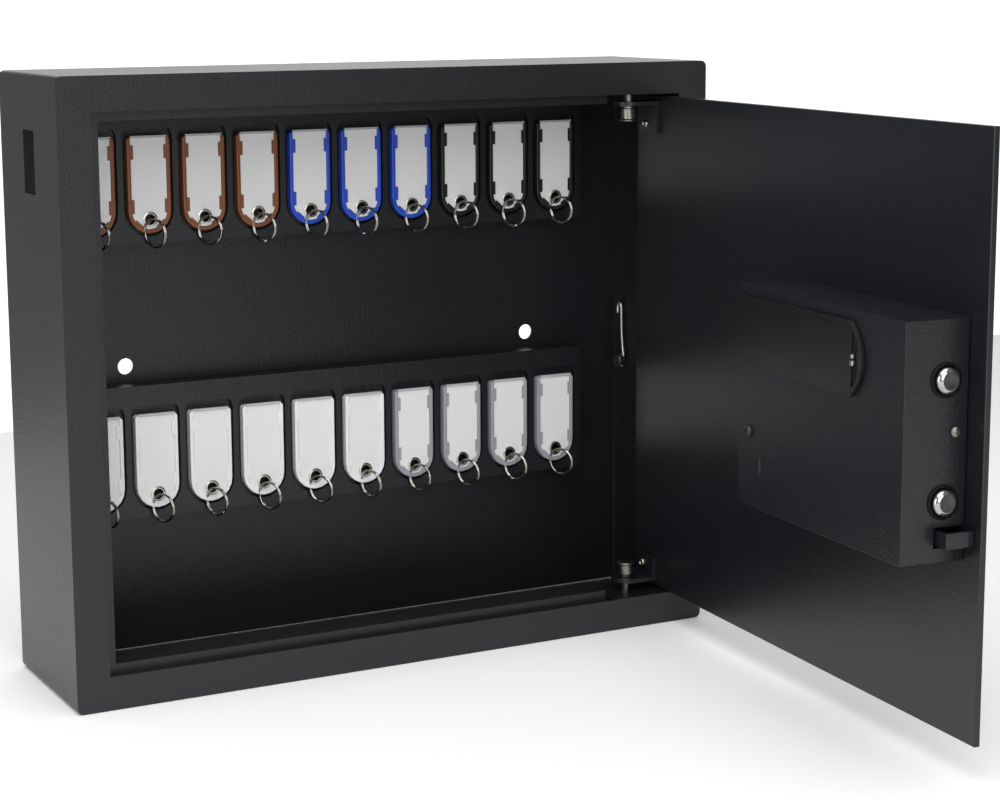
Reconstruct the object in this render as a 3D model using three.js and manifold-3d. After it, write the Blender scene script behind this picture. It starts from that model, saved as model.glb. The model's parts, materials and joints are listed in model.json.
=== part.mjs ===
// Wall key cabinet with an electronic door lock and two rails of key tags.
// Millimetres, +Z up. The cabinet's front faces -Y, and its door stands open at rest.
// Pieces are laid out from the cabinet's front bottom left corner: x to the right, y into the depth,
// z up. The outermost group then moves the origin to the middle of the rear face.
// Pieces of the door are laid out as if it were shut, and their group swings them open.
import * as THREE from 'three';
import { mergeVertices } from 'three/addons/utils/BufferGeometryUtils.js';
import Module from 'manifold-3d';

const wasm = await Module();
wasm.setup();

// ---- driving dimensions ----
const WIDTH = 350;
const HEIGHT = 300;
const DEPTH = 90;
const SHEET = 1.5;             // cabinet steel
const CORNER_R = 3;            // bend radius of the long outer edges
const GAP = 0.3;               // between pieces that touch
const FACE = 16.5;             // width of the front frame
const JAMB = 6.5;              // depth of the frame's return
const LIP = 4.6;               // door stop, inside the return
const LIP_DEPTH = 24;          // where the stop's inner flange ends
const HINGE_ZONE = 57;         // the stop leaves this much free at the hinge side

const SLOT = { width: 17, height: 30, front: 36, top: 26.5 };
const HANG_HOLE = { r: 4.15, z: 149.5, inset: 59 };

const DOOR_T = 3;
const DOOR_SET = 1;            // door face lies this far behind the frame's face
const DOOR_GAP = 1.5;
const HINGE_GAP = 2;
const OPEN_DEG = 85.7;         // door angle at rest
const PIVOT_IN = 36;           // pivot line from the cabinet's right side
const PIVOT_BACK = 18.5;       // pivot line behind the frame's face
const PIN_R = 2.5;
const PIN_HEAD_R = 4.4;
const PIN_HEAD = 7.8;
const PIN_PLAY = 0.3;
const LEAF_T = 2.2;
const LEAF_EDGE = 20.9;        // hinge leaf from the cabinet's top or bottom
const BRACKET_T = 2;
const BRACKET_EDGE = 16.5;

const TAG = { width: 22.5, height: 48, thick: 4.8, rim: 1.9, tray: 0.9, eye: 7, eyeR: 2.6 };
const TAG_FIRST = 40;          // first tag's middle from the cabinet's left side
const TAG_PITCH = 29;
const TAGS_PER_RAIL = 10;
const POCKET = { side: 1.75, top: 4.7, wall: 1, depth: 3.5, corner: 4 };
const RAIL = { sheet: 1, height: 68, left: 17, right: 17, standoff: 14 };
const RAIL_PLACE = { top: 86.7, bottom: 73.4 };   // lower edges, from the cabinet's top and bottom
const TAG_SEAT = 5;            // tag's lower end above the rail's lower edge
const TAG_PULL = 0.5;          // play behind a seated tag

const CASE = { left: 30, right: 165, bottom: 98, top: 202, depth: 32, sheet: 1.2 };
const BOLT = { r: 6, upper: 176.2, lower: 124, back: 11.5, out: 4, throw: 15, bore: 0.4 };
const NOTCH = { bottom: 104.2, height: 8.8, depth: 15.5 };
const COVER = { left: 68, top: 197.3, height: 33, thick: 2, pull: 9 };
const CELLS = { length: 101.5, height: 29.4, depth: 15.6 };
const SCREW_R = 2.6;

const KNOB = { x: 100, z: 122, r: 17, height: 19, shaftR: 4 };
const CRANK = { radius: 10.6, pinR: 2, play: 0.5, disc: 13.4, thick: 1.8 };
const PLATE = { front: 3, thick: 2, right: 116 };
const PLUNGER = { r: 2.5, travel: 4 };
const KEYPAD = { left: 52, right: 148, bottom: 100, top: 198, thick: 10, corner: 8 };
const KEY = { width: 15, height: 10, pitchX: 19.5, pitchZ: 14.8, columns: 4, rows: 3, travel: 1.2 };
const KEY_TOP = 184;
const KEY_MIDDLE = 100;
const OVERRIDE = { x: 134, z: 122, barrelR: 6, capR: 9, cap: 5 };

// ---- materials ----
function finish(color, roughness, metalness) {
  return new THREE.MeshStandardMaterial({ color, roughness, metalness });
}
const powderCoat = finish(0x24272b, 0.5, 0.2);
const zinc = finish(0xb9bdc0, 0.35, 0.9);
const chrome = finish(0xd8dadc, 0.12, 1);
const blackPlastic = finish(0x111214, 0.45, 0);
const coverPlastic = finish(0x18191b, 0.35, 0);
const keyPlastic = finish(0xc9cbcc, 0.5, 0);
const copper = finish(0xa5653a, 0.4, 0.8);
const tagBrown = finish(0x8a4a22, 0.4, 0);
const tagBlue = finish(0x1f4fd6, 0.4, 0);
const tagBlack = finish(0x17181a, 0.4, 0);
const tagWhite = finish(0xe9eaec, 0.4, 0);
const tagGrey = finish(0x9da1a8, 0.4, 0);

// ---- shapes ----
function box(x0, x1, y0, y1, z0, z1) {
  return new THREE.BoxGeometry(x1 - x0, y1 - y0, z1 - z0)
    .translate((x0 + x1) / 2, (y0 + y1) / 2, (z0 + z1) / 2);
}

// Outline in x and z, between two depths.
function plateXZ(shape, y0, y1, curveSegments = 6) {
  return new THREE.ExtrudeGeometry(shape, { depth: y1 - y0, bevelEnabled: false, curveSegments })
    .rotateX(Math.PI / 2).translate(0, y1, 0);
}

// Outline in x and y, between two heights.
function plateXY(shape, z0, z1, curveSegments = 6) {
  return new THREE.ExtrudeGeometry(shape, { depth: z1 - z0, bevelEnabled: false, curveSegments })
    .translate(0, 0, z0);
}

function rodX(y, z, r, x0, x1, sides = 20) {
  return new THREE.CylinderGeometry(r, r, x1 - x0, sides)
    .rotateZ(Math.PI / 2).translate((x0 + x1) / 2, y, z);
}

function rodY(x, z, r, y0, y1, sides = 20) {
  return new THREE.CylinderGeometry(r, r, y1 - y0, sides).translate(x, (y0 + y1) / 2, z);
}

function rodZ(x, y, r, z0, z1, sides = 20) {
  return new THREE.CylinderGeometry(r, r, z1 - z0, sides)
    .rotateX(Math.PI / 2).translate(x, y, (z0 + z1) / 2);
}

// Adds an arc in equal steps, anticlockwise from one angle to another, in degrees.
function arc(shape, cx, cz, r, from, to, steps) {
  for (let i = 0; i <= steps; i += 1) {
    const a = THREE.MathUtils.degToRad(from + ((to - from) * i) / steps);
    shape.lineTo(cx + r * Math.cos(a), cz + r * Math.sin(a));
  }
}

function roundedRect(x0, x1, z0, z1, r, steps = 4) {
  const s = new THREE.Shape();
  s.moveTo((x0 + x1) / 2, z0);
  arc(s, x1 - r, z0 + r, r, -90, 0, steps);
  arc(s, x1 - r, z1 - r, r, 0, 90, steps);
  arc(s, x0 + r, z1 - r, r, 90, 180, steps);
  arc(s, x0 + r, z0 + r, r, 180, 270, steps);
  return s;
}

// Round lower end, small round upper corners: the outline of a tag and of its pocket.
function tagOutline(cx, width, bottom, top, corner, steps = 1) {
  const r = width / 2;
  const s = new THREE.Shape();
  s.moveTo(cx - r, (bottom + top) / 2);
  arc(s, cx, bottom + r, r, 180, 360, 10);
  arc(s, cx + r - corner, top - corner, corner, 0, 90, steps);
  arc(s, cx - r + corner, top - corner, corner, 90, 180, steps);
  return s;
}

// ---- joining and cutting ----
function solid(geometry) {
  const bare = geometry.clone();
  bare.deleteAttribute('normal');
  bare.deleteAttribute('uv');
  const merged = mergeVertices(bare, 1e-4);
  return new wasm.Manifold(new wasm.Mesh({
    numProp: 3,
    vertProperties: new Float32Array(merged.attributes.position.array),
    triVerts: new Uint32Array(merged.index.array),
  }));
}

function join(...geometries) {
  return geometries.map(solid).reduce((a, b) => a.add(b));
}

function cut(body, ...geometries) {
  return geometries.map(solid).reduce((a, b) => a.subtract(b), body);
}

function geometryOf(manifold) {
  const m = manifold.getMesh();
  const g = new THREE.BufferGeometry();
  g.setAttribute('position', new THREE.BufferAttribute(new Float32Array(m.vertProperties), 3));
  g.setIndex(new THREE.BufferAttribute(new Uint32Array(m.triVerts), 1));
  return g;
}

function piece(name, shape, material, parent) {
  const mesh = new THREE.Mesh(shape.isBufferGeometry ? shape : geometryOf(shape), material);
  mesh.name = name;
  parent.add(mesh);
  return mesh;
}

// ---- groups ----
const group = new THREE.Group();
const cabinet = new THREE.Group();
cabinet.position.set(-WIDTH / 2, -DEPTH, -HEIGHT / 2);
group.add(cabinet);

const pivotX = WIDTH - PIVOT_IN;
const door = new THREE.Group();
door.position.set(pivotX, PIVOT_BACK, 0);
door.rotation.z = THREE.MathUtils.degToRad(OPEN_DEG);
cabinet.add(door);
const shut = new THREE.Group();
shut.position.set(-pivotX, -PIVOT_BACK, 0);
door.add(shut);

// ---- cabinet ----
const hingeEdge = WIDTH - HINGE_ZONE;
const doorLeft = FACE + DOOR_GAP;
const doorInner = DOOR_SET + DOOR_T;
const backFront = DEPTH - SHEET;

// A square ring with sides parallel to the frame, `outer` and `inner` counted in from the cabinet's edges.
function ring(outer, inner, y0, y1) {
  const whole = box(outer, WIDTH - outer, y0, y1, outer, HEIGHT - outer);
  const hole = box(inner, WIDTH - inner, y0 - 1, y1 + 1, inner, HEIGHT - inner);
  return cut(solid(whole), hole, box(hingeEdge, WIDTH, y0 - 1, y1 + 1, SHEET, HEIGHT - SHEET));
}

function outerShell() {
  const skin = roundedRect(0, WIDTH, 0, HEIGHT, CORNER_R);
  const room = roundedRect(SHEET, WIDTH - SHEET, SHEET, HEIGHT - SHEET, CORNER_R - SHEET);
  let body = cut(solid(plateXZ(skin, 0, DEPTH)), plateXZ(room, SHEET, DEPTH + 1));
  body = cut(body, box(FACE, WIDTH - FACE, -1, SHEET + 1, FACE, HEIGHT - FACE));
  const lipEdge = FACE + LIP;
  body = body.add(ring(FACE - SHEET, FACE, SHEET / 2, JAMB));
  body = body.add(ring(FACE - SHEET, lipEdge, JAMB - SHEET, JAMB));
  body = body.add(ring(lipEdge - SHEET, lipEdge, JAMB - SHEET, LIP_DEPTH));
  const slotTop = HEIGHT - SLOT.top;
  const slot = box(-1, SHEET + 1, SLOT.front, SLOT.front + SLOT.width, slotTop - SLOT.height, slotTop);
  const boltY = doorInner + BOLT.back;
  const boltHoles = [BOLT.upper, BOLT.lower]
    .map((z) => rodX(boltY, z, BOLT.r + 1, FACE - SHEET - 1, lipEdge + 1));
  return cut(body, slot, ...boltHoles);
}

function backPanel() {
  const inset = SHEET + GAP;
  const outline = roundedRect(inset, WIDTH - inset, inset, HEIGHT - inset, CORNER_R - SHEET);
  const holes = [HANG_HOLE.inset, WIDTH - HANG_HOLE.inset]
    .map((x) => rodY(x, HANG_HOLE.z, HANG_HOLE.r, backFront - 1, DEPTH + 1, 24));
  return cut(solid(plateXZ(outline, backFront, DEPTH)), ...holes);
}

const railFront = backFront - RAIL.standoff;
const lastTag = TAG_FIRST + (TAGS_PER_RAIL - 1) * TAG_PITCH;

function tagX(i) {
  return TAG_FIRST + i * TAG_PITCH;
}

function keyRail(bottom) {
  const x0 = TAG_FIRST - RAIL.left;
  const x1 = lastTag + RAIL.right;
  const top = bottom + RAIL.height;
  const rear = backFront - GAP;
  let body = join(
    box(x0, x1, railFront, railFront + RAIL.sheet, bottom, top),
    box(x0, x1, railFront, rear, top - RAIL.sheet, top),
    box(x0, x1, railFront, rear, bottom, bottom + RAIL.sheet),
  );
  const floor = railFront + POCKET.depth;
  const seat = bottom + TAG_SEAT;
  const pocketTop = seat + TAG.height + POCKET.top;
  const inner = [];
  for (let i = 0; i < TAGS_PER_RAIL; i += 1) {
    const x = tagX(i);
    const w = TAG.width + 2 * POCKET.side;
    const cup = tagOutline(x, w + 2 * POCKET.wall, seat - POCKET.side - POCKET.wall,
      pocketTop + POCKET.wall, POCKET.corner + POCKET.wall, 2);
    body = body.add(solid(plateXZ(cup, railFront, floor + POCKET.wall)));
    const hollow = tagOutline(x, w, seat - POCKET.side, pocketTop, POCKET.corner, 2);
    inner.push(plateXZ(hollow, railFront - 1, floor));
  }
  return cut(body, ...inner);
}

function keyTag(x, bottom) {
  const back = railFront + POCKET.depth - TAG_PULL;
  const front = back - TAG.thick;
  const top = bottom + TAG.height;
  const body = solid(plateXZ(tagOutline(x, TAG.width, bottom, top, 1.2), front, back));
  const tray = tagOutline(x, TAG.width - 2 * TAG.rim, bottom + TAG.rim, top + 2, 1);
  return cut(body, plateXZ(tray, front - 1, front + TAG.tray),
    rodY(x, bottom + TAG.eye, TAG.eyeR, front - 1, back + 1, 12));
}

// A hinge bracket: a plate with two legs, below the door's lower edge or above its upper one.
function hingeBracket(upper) {
  const x0 = hingeEdge + 3;
  const x1 = WIDTH - CORNER_R - 2;
  const y0 = SHEET + GAP;
  const y1 = PIVOT_BACK + 14;
  const z0 = SHEET + GAP;
  const flip = (z) => (upper ? HEIGHT - z : z);
  const span = (ya, yb, za, zb) => {
    const [low, high] = [flip(za), flip(zb)].sort((a, b) => a - b);
    return box(x0, x1, ya, yb, low, high);
  };
  const plateInner = BRACKET_EDGE - BRACKET_T;
  const body = join(span(y0, y1, plateInner, BRACKET_EDGE), span(y0, y0 + BRACKET_T, z0, BRACKET_EDGE),
    span(y1 - BRACKET_T, y1, z0, BRACKET_EDGE));
  const ends = [flip(plateInner - 2), flip(BRACKET_EDGE + 2)].sort((a, b) => a - b);
  return cut(body, rodZ(pivotX, PIVOT_BACK, PIN_R + GAP, ends[0], ends[1]));
}

// The pin stands in the bracket, and its head holds the hinge leaf.
function hingePin(upper) {
  const headBase = LEAF_EDGE + LEAF_T + GAP;
  const top = headBase + PIN_HEAD;
  const outline = [
    [0, BRACKET_EDGE - BRACKET_T - 1.5], [PIN_R - 0.5, BRACKET_EDGE - BRACKET_T - 1.5],
    [PIN_R, BRACKET_EDGE - BRACKET_T - 1], [PIN_R, headBase], [PIN_HEAD_R - 0.6, headBase],
    [PIN_HEAD_R - 0.6, headBase + 1], [PIN_HEAD_R - 0.3, headBase + 1.4],
    [PIN_HEAD_R - 0.3, top - 1.2], [PIN_HEAD_R + 0.6, top - 0.6], [PIN_HEAD_R + 0.3, top], [0, top],
  ].map(([r, z]) => new THREE.Vector2(r, z));
  const pin = new THREE.LatheGeometry(outline, 20).rotateX(Math.PI / 2);
  if (upper) {
    pin.rotateX(Math.PI).translate(0, 0, HEIGHT);
  }
  return solid(pin.translate(pivotX, PIVOT_BACK, 0));
}

// A wire spring on the right wall: a hook, a straight leg and one turn round its screw.
const SPRING = { x: WIDTH - SHEET - 2.2, y: DEPTH - 13, z: 130.5, loop: 3, wire: 0.9, top: 163 };

function doorSpring() {
  const points = [
    [SPRING.y + 4, SPRING.top - 6], [SPRING.y + 3.6, SPRING.top - 1], [SPRING.y + 2, SPRING.top + 0.6],
    [SPRING.y + 0.4, SPRING.top - 1.5], [SPRING.y, SPRING.top - 8], [SPRING.y - 0.2, SPRING.z + 18],
    [SPRING.y - 1.4, SPRING.z + 8],
  ];
  for (let a = 150; a >= -110; a -= 26) {
    const t = THREE.MathUtils.degToRad(a);
    points.push([SPRING.y + SPRING.loop * Math.cos(t), SPRING.z + SPRING.loop * Math.sin(t)]);
  }
  const path = new THREE.CatmullRomCurve3(points.map(([y, z]) => new THREE.Vector3(SPRING.x, y, z)));
  const wire = new THREE.Shape().absarc(0, 0, SPRING.wire, 0, 2 * Math.PI);
  return new THREE.ExtrudeGeometry(wire, { steps: 34, extrudePath: path, curveSegments: 4 });
}

function springScrew() {
  const wall = WIDTH - SHEET - GAP;
  return join(rodX(SPRING.y, SPRING.z, 1.6, SPRING.x - 1.5, wall, 14),
    rodX(SPRING.y, SPRING.z, 3.6, SPRING.x - 3.2, SPRING.x - 1.4, 16));
}

piece('outer_shell', outerShell(), powderCoat, cabinet);
piece('back_panel', backPanel(), powderCoat, cabinet);
piece('key_rail_upper', keyRail(HEIGHT - RAIL_PLACE.top), powderCoat, cabinet);
piece('key_rail_lower', keyRail(RAIL_PLACE.bottom), powderCoat, cabinet);
piece('hinge_bracket_upper', hingeBracket(true), powderCoat, cabinet);
piece('hinge_bracket_lower', hingeBracket(false), powderCoat, cabinet);
piece('hinge_pin_upper', hingePin(true), zinc, cabinet);
piece('hinge_pin_lower', hingePin(false), zinc, cabinet);
piece('door_spring', doorSpring(), zinc, cabinet);
piece('spring_screw', springScrew(), zinc, cabinet);

const tagRows = [
  { name: 'upper', bottom: HEIGHT - RAIL_PLACE.top, runs: [[tagBrown, 4], [tagBlue, 3], [tagBlack, 3]] },
  { name: 'lower', bottom: RAIL_PLACE.bottom, runs: [[tagWhite, 6], [tagGrey, 4]] },
];
for (const row of tagRows) {
  const plastics = row.runs.flatMap(([plastic, count]) => Array(count).fill(plastic));
  for (let i = 0; i < TAGS_PER_RAIL; i += 1) {
    const number = String(i + 1).padStart(2, '0');
    piece(`key_tag_${row.name}_${number}`, keyTag(tagX(i), row.bottom + TAG_SEAT), plastics[i], cabinet);
  }
}

// ---- door ----
const caseRear = doorInner + CASE.depth;
const boltY = doorInner + BOLT.back;

function doorPlate() {
  const doorRight = WIDTH - FACE - HINGE_GAP;
  const plate = box(doorLeft, doorRight, DOOR_SET, doorInner, FACE + DOOR_GAP, HEIGHT - FACE - DOOR_GAP);
  return cut(solid(plate),
    rodY(KNOB.x, KNOB.z, KNOB.shaftR + 1, DOOR_SET - 1, doorInner + 1),
    rodY(OVERRIDE.x, OVERRIDE.z, OVERRIDE.barrelR + GAP, DOOR_SET - 1, doorInner + 1));
}

// An angle on the door's inner face, whose arm reaches back to the pivot.
function hingeLeaf(upper, tabHeight) {
  const x0 = pivotX - 8;
  const x1 = pivotX + 11;
  const y0 = doorInner + GAP;
  const arm = new THREE.Shape();
  arm.moveTo(x0, y0);
  arm.lineTo(x1, y0);
  arm.lineTo(x1, y0 + LEAF_T);
  arm.lineTo(pivotX + 8, PIVOT_BACK);
  arm.absarc(pivotX, PIVOT_BACK, 8, 0, Math.PI);
  arm.lineTo(x0, y0);
  let body = join(plateXY(arm, LEAF_EDGE, LEAF_EDGE + LEAF_T, 10),
    box(x0, x1, y0, y0 + LEAF_T, LEAF_EDGE, LEAF_EDGE + tabHeight));
  body = cut(body, rodZ(pivotX, PIVOT_BACK, PIN_R + PIN_PLAY, LEAF_EDGE - 1, LEAF_EDGE + LEAF_T + 1));
  return upper ? body.mirror([0, 0, 1]).translate([0, 0, HEIGHT]) : body;
}

function lockCase() {
  const y0 = doorInner + GAP;
  const t = CASE.sheet;
  const outer = box(CASE.left, CASE.right, y0, caseRear, CASE.bottom, CASE.top);
  const room = box(CASE.left + t, CASE.right - t, y0 - 1, caseRear - t, CASE.bottom + t, CASE.top - t);
  const bores = [BOLT.upper, BOLT.lower]
    .map((z) => rodX(boltY, z, BOLT.r + BOLT.bore, CASE.left - 1, CASE.left + t + 1));
  const notch = box(CASE.left - 1, CASE.left + t + 1, y0 - 1, doorInner + NOTCH.depth,
    NOTCH.bottom, NOTCH.bottom + NOTCH.height);
  const bay = box(COVER.left + 4, CASE.right - 4, caseRear - t - 1, caseRear + 1,
    COVER.top - COVER.height + 2.5, COVER.top - 2.5);
  const stamp = box(CASE.right - 31, CASE.right - 19, caseRear - t / 2, caseRear + 1,
    CASE.bottom + 17, CASE.bottom + 24.5);
  return cut(solid(outer), room, ...bores, notch, bay, stamp);
}

// Heads of the lock case's screws.
function caseScrewFront() {
  return rodY(CASE.right - 10, CASE.bottom + 36, SCREW_R, caseRear + GAP, caseRear + 1.6, 16);
}

function caseScrewSide() {
  return rodX(doorInner + 6.2, CASE.bottom + 55.8, SCREW_R, CASE.left - 1.7, CASE.left - GAP, 16);
}

// A bent tab between the case's notch and the door's free edge.
function caseTab() {
  const z0 = NOTCH.bottom + 1;
  const z1 = NOTCH.bottom + NOTCH.height - 1;
  const x0 = FACE + LIP + 1.4;
  const y0 = doorInner + GAP;
  const rear = doorInner + NOTCH.depth - 1;
  return join(box(x0, x0 + 2, y0, rear, z0, z1), box(x0, CASE.left + 6, rear - 2, rear, z0, z1),
    box(x0, CASE.left - 2.5, y0, y0 + 1.5, z0, z1));
}

// Four cells in two rows, end to end, in a tray behind the cover.
function batteryPack() {
  const x1 = CASE.right - CASE.sheet - 3.8;
  const y1 = caseRear - CASE.sheet - GAP;
  const z0 = COVER.top - COVER.height / 2 - CELLS.height / 2;
  return box(x1 - CELLS.length, x1, y1 - CELLS.depth, y1, z0, z0 + CELLS.height);
}

function batteryCover() {
  const y0 = caseRear + GAP;
  const z0 = COVER.top - COVER.height;
  const outline = new THREE.Shape();
  outline.moveTo(COVER.left, z0);
  outline.lineTo(CASE.right, z0);
  outline.lineTo(CASE.right, COVER.top);
  outline.lineTo(COVER.left, COVER.top);
  outline.quadraticCurveTo(COVER.left - COVER.pull * 2, z0 + COVER.height / 2, COVER.left, z0);
  const dish = new THREE.Shape();
  const edge = COVER.left - 0.8;
  dish.moveTo(edge, z0 + 3.5);
  dish.lineTo(edge, COVER.top - 3.5);
  dish.quadraticCurveTo(edge - COVER.pull * 1.4, z0 + COVER.height / 2, edge, z0 + 3.5);
  return cut(solid(plateXZ(outline, y0, y0 + COVER.thick, 10)),
    plateXZ(dish, y0 + 0.5, y0 + COVER.thick + 1, 8));
}

const plateY = doorInner + PLATE.front;
const boltRear = CASE.left + CASE.sheet + BOLT.throw + 1.5;
const plateLeft = boltRear + GAP;
const plateTop = BOLT.upper + 4;
const plungerX = plateLeft + 8;
const crankDrop = CRANK.radius * Math.SQRT1_2;

// The flat slide that carries both bolts. Its slot takes the crank pin, and its upper edge is a ramp
// that lets the plunger down behind it as the bolts go out.
function boltCarriage() {
  const bottom = BOLT.lower - BOLT.r;
  const rampFrom = plungerX - PLUNGER.r - 0.5;
  const rampTo = rampFrom + BOLT.throw;
  const s = new THREE.Shape();
  s.moveTo(plateLeft, bottom);
  s.lineTo(PLATE.right - 4, bottom);
  s.lineTo(PLATE.right, bottom + 4);
  s.lineTo(PLATE.right, plateTop - 34);
  s.lineTo(rampTo + 10, plateTop - PLUNGER.travel);
  s.lineTo(rampTo, plateTop - PLUNGER.travel);
  s.lineTo(rampFrom, plateTop);
  s.lineTo(plateLeft, plateTop);
  const lug = (z) => box(plateLeft, plateLeft + 4, plateY, boltY + BOLT.r,
    z - BOLT.r, Math.min(z + BOLT.r, plateTop));
  const plate = join(plateXZ(s, plateY, plateY + PLATE.thick), lug(BOLT.upper), lug(BOLT.lower));
  const half = CRANK.pinR + CRANK.play;
  const pinX = KNOB.x + crankDrop;
  return cut(plate, box(pinX - half, pinX + half, plateY - 1, plateY + PLATE.thick + 1,
    KNOB.z + crankDrop - half, KNOB.z + CRANK.radius + half));
}

function bolt(z) {
  const tip = CASE.left - BOLT.out;
  const outline = [
    [0, 0], [BOLT.r - 1.6, 0], [BOLT.r - 0.5, 0.5], [BOLT.r, 1.6],
    [BOLT.r, boltRear - tip], [0, boltRear - tip],
  ].map(([r, x]) => new THREE.Vector2(r, x));
  return solid(new THREE.LatheGeometry(outline, 28).rotateZ(-Math.PI / 2).translate(tip, boltY, z));
}

function turnKnob() {
  const face = DOOR_SET - GAP - KEYPAD.thick;
  const front = face - GAP - KNOB.height;
  const grip = new THREE.Shape();
  const lobes = 24;
  for (let i = 0; i < lobes; i += 1) {
    const a = (i / lobes) * 2 * Math.PI;
    const r = KNOB.r - (i % 2) * 0.8;
    grip[i ? 'lineTo' : 'moveTo'](KNOB.x + r * Math.cos(a), KNOB.z + r * Math.sin(a));
  }
  const discFront = doorInner + 0.5;
  const discRear = discFront + CRANK.thick;
  const pinX = KNOB.x + crankDrop;
  const pinZ = KNOB.z + crankDrop;
  return join(
    plateXZ(grip, front, front + 9, 4),
    rodY(KNOB.x, KNOB.z, KNOB.r - 2.5, front + 8, face - GAP, 32),
    rodY(KNOB.x, KNOB.z, KNOB.shaftR, face - 1, discRear, 20),
    rodY(KNOB.x, KNOB.z, CRANK.disc, discFront, discRear, 28),
    rodY(pinX, pinZ, CRANK.pinR, discRear - 1, plateY + PLATE.thick + 0.8, 14),
  );
}

// The plunger stands on the carriage's ramp, and its coil is fixed above it.
const plungerTip = plateTop + 1;
const coilBottom = plungerTip + 6;

function solenoidBody() {
  const y0 = plateY - 1.5;
  const body = solid(box(plungerX - 6.5, plungerX + 6.5, y0, y0 + 12, coilBottom,
    CASE.top - CASE.sheet - GAP));
  return cut(body, rodZ(plungerX, plateY + 1, PLUNGER.r + 0.4, coilBottom - 1,
    CASE.top - CASE.sheet - 4, 16));
}

function solenoidPlunger() {
  return join(rodZ(plungerX, plateY + 1, PLUNGER.r, plungerTip, coilBottom + 5, 16),
    rodZ(plungerX, plateY + 1, PLUNGER.r + 0.9, coilBottom - 1.5, coilBottom - GAP, 16));
}

const padFace = DOOR_SET - GAP - KEYPAD.thick;

function keySeats() {
  const seats = [];
  const left = KEY_MIDDLE - ((KEY.columns - 1) * KEY.pitchX) / 2;
  for (let row = 0; row < KEY.rows; row += 1) {
    for (let column = 0; column < KEY.columns; column += 1) {
      seats.push({ x: left + column * KEY.pitchX, z: KEY_TOP - row * KEY.pitchZ });
    }
  }
  return seats;
}

function keyShape(seat, grow) {
  const w = KEY.width / 2 + grow;
  const h = KEY.height / 2 + grow;
  return roundedRect(seat.x - w, seat.x + w, seat.z - h, seat.z + h, 2 + grow, 2);
}

function keypadHousing() {
  const shape = roundedRect(KEYPAD.left, KEYPAD.right, KEYPAD.bottom, KEYPAD.top, KEYPAD.corner);
  const wells = keySeats().map((seat) => plateXZ(keyShape(seat, 0.5), padFace - 1, padFace + 4));
  return cut(solid(plateXZ(shape, padFace, DOOR_SET - GAP)), ...wells,
    rodY(KNOB.x, KNOB.z, KNOB.shaftR + 1, padFace - 1, DOOR_SET),
    rodY(OVERRIDE.x, OVERRIDE.z, OVERRIDE.barrelR + GAP, padFace - 1, DOOR_SET));
}

function keyButton(seat) {
  return plateXZ(keyShape(seat, 0), padFace - 1.4, padFace + 4 - KEY.travel - GAP);
}

function overrideBarrel() {
  const body = solid(rodY(OVERRIDE.x, OVERRIDE.z, OVERRIDE.barrelR, padFace - 1.2, doorInner - 0.5, 24));
  const keyway = box(OVERRIDE.x - 1, OVERRIDE.x + 1, padFace - 2, padFace + 3,
    OVERRIDE.z - 4, OVERRIDE.z + 4);
  return cut(body, keyway);
}

function overrideCap() {
  const front = padFace - GAP - OVERRIDE.cap;
  const cap = solid(rodY(OVERRIDE.x, OVERRIDE.z, OVERRIDE.capR, front, padFace - GAP, 28));
  return cut(cap, rodY(OVERRIDE.x, OVERRIDE.z, OVERRIDE.barrelR + 0.6, padFace - 2.2, padFace + 1, 24));
}

piece('door_plate', doorPlate(), powderCoat, shut);
piece('hinge_leaf_upper', hingeLeaf(true, 17), powderCoat, shut);
piece('hinge_leaf_lower', hingeLeaf(false, 12.5), powderCoat, shut);
piece('lock_case', lockCase(), powderCoat, shut);
piece('case_screw_front', caseScrewFront(), blackPlastic, shut);
piece('case_screw_side', caseScrewSide(), zinc, shut);
piece('case_tab', caseTab(), powderCoat, shut);
piece('battery_pack', batteryPack(), blackPlastic, shut);
piece('battery_cover', batteryCover(), coverPlastic, shut);
piece('bolt_carriage', boltCarriage(), zinc, shut);
piece('bolt_upper', bolt(BOLT.upper), chrome, shut);
piece('bolt_lower', bolt(BOLT.lower), chrome, shut);
piece('turn_knob', turnKnob(), blackPlastic, shut);
piece('solenoid_body', solenoidBody(), copper, shut);
piece('solenoid_plunger', solenoidPlunger(), zinc, shut);
piece('keypad_housing', keypadHousing(), blackPlastic, shut);
piece('override_barrel', overrideBarrel(), zinc, shut);
piece('override_cap', overrideCap(), blackPlastic, shut);
keySeats().forEach((seat, i) => {
  piece(`key_button_${String(i + 1).padStart(2, '0')}`, keyButton(seat), keyPlastic, shut);
});

export default group;
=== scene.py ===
import json
import math
import random

import bmesh
import bpy
from bpy.props import FloatProperty, FloatVectorProperty, IntProperty, PointerProperty
from mathutils import Matrix, Vector

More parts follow.
